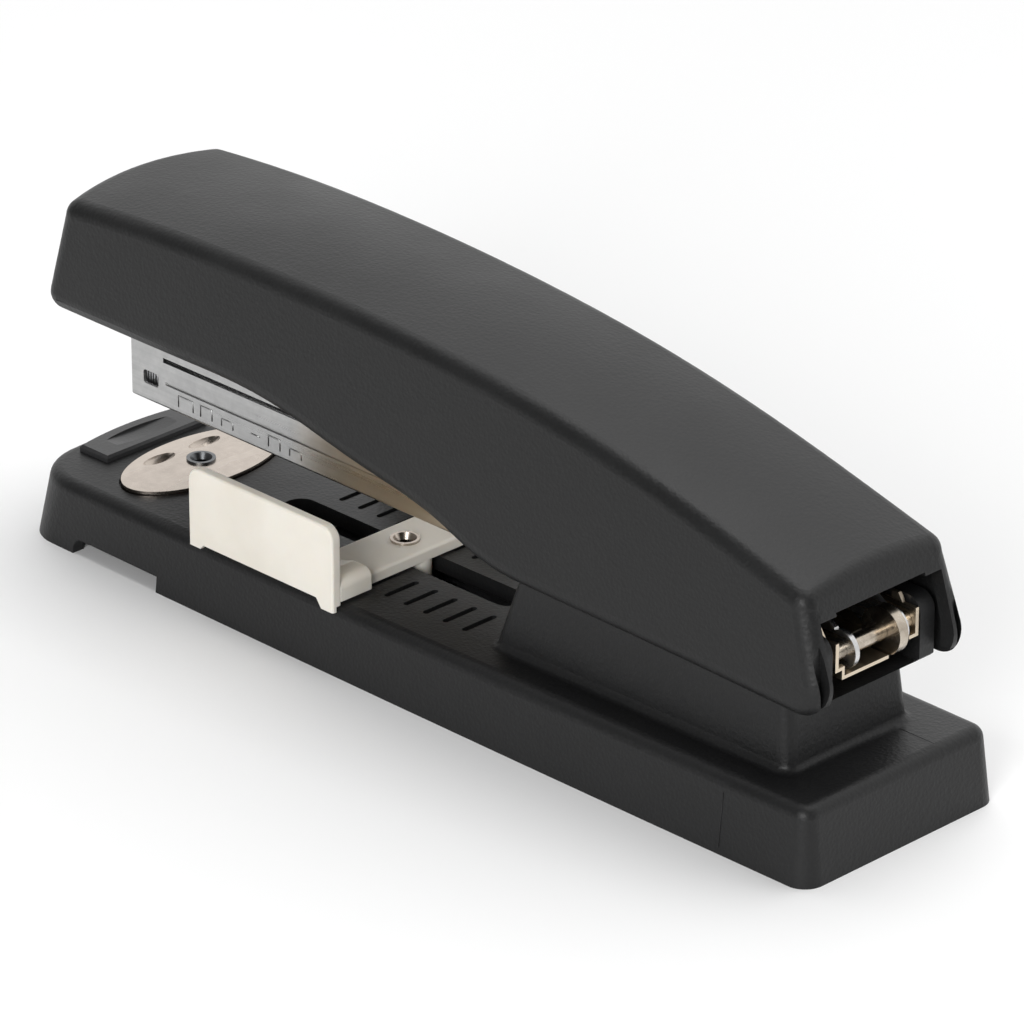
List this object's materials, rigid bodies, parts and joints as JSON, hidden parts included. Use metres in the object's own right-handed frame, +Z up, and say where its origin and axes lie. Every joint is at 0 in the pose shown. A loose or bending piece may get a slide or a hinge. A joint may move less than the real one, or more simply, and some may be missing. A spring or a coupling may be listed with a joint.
{
  "type": "desk stapler",
  "caption": "Desk stapler with a charcoal cover on a black base, a sliding cream depth stop, an oval steel anvil and a steel staple channel.",
  "frame": {"origin": "middle of the bottom face of the bounding box, on the surface that the base stands on", "axes": "+X from the mouth to the hinge pin, +Y across, +Z up"},
  "size_m": [0.157, 0.039, 0.055],
  "materials": {
    "cover_plastic": "fine-grained charcoal moulding",
    "base_plastic": "fine-grained black moulding",
    "pad_plastic": "satin black moulding",
    "plate_plastic": "dark grey moulding",
    "cream_plastic": "satin cream moulding",
    "pusher_plastic": "black moulding",
    "plated_steel": "zinc-plated rolled steel",
    "anvil_steel": "nickel-plated satin steel",
    "staple_steel": "galvanised wire",
    "pin_steel": "plain turned steel with a warm oil film",
    "spring_steel": "bright spring steel",
    "blade_steel": "hardened dark steel",
    "foot_rubber": "soft black rubber"
  },
  "bodies": {
    "base": {"base_housing": "base_plastic", "base_bottom_plate": "plate_plastic", "bottom_screws": "spring_steel", "rubber_feet": "foot_rubber", "front_pad": "pad_plastic", "hinge_pin": "pin_steel", "return_spring": "spring_steel", "anvil_spring": "spring_steel"},
    "anvil": {"anvil_plate": "anvil_steel", "anvil_rivet": "anvil_steel", "anvil_button": "plate_plastic"},
    "depth_stop": {"depth_stop": "cream_plastic", "stop_eyelet": "anvil_steel", "stop_clip": "spring_steel"},
    "magazine": {"magazine_channel": "plated_steel", "magazine_nose": "plated_steel", "staple_rail": "plated_steel", "pusher_rod": "spring_steel", "rod_head": "spring_steel", "staple_strip": "staple_steel", "pusher_spring": "spring_steel", "pin_collar": "pin_steel", "drive_spring": "spring_steel"},
    "pusher": {"pusher": "pusher_plastic"},
    "cover": {"cover_shell": "cover_plastic", "upper_frame": "plated_steel", "cover_screws": "spring_steel", "driver_blade": "blade_steel", "driver_rivet": "plated_steel"}
  },
  "joints": [
    {"name": "magazine_hinge", "type": "hinge", "parent": "base", "child": "magazine", "pos_m": [0.0711, 0, 0.0284], "axis": [0, 1, 0], "range_deg": [-4.25, 0], "stiffness_Nm_per_rad": 1, "springref_deg": 8.59, "deforming": ["return_spring"]},
    {"name": "cover_hinge", "type": "hinge", "parent": "magazine", "child": "cover", "pos_m": [0.0711, 0, 0.0284], "axis": [0, 1, 0], "range_deg": [-2.65, 85], "stiffness_Nm_per_rad": 1.2, "springref_deg": 1.15, "deforming": ["drive_spring"]},
    {"name": "pusher_slide", "type": "slide", "parent": "magazine", "child": "pusher", "axis": [1, 0, 0], "range_m": [0, 0.06], "stiffness_N_per_m": 30, "springref_m": -0.03, "deforming": ["pusher_spring"]},
    {"name": "depth_stop_slide", "type": "slide", "parent": "base", "child": "depth_stop", "axis": [1, 0, 0], "range_m": [-0.017, 0.014]},
    {"name": "anvil_lift", "type": "slide", "parent": "base", "child": "anvil", "axis": [0, 0, 1], "range_m": [0, 0.002], "stiffness_N_per_m": 300, "springref_m": -0.001, "deforming": ["anvil_spring"]}
  ]
}
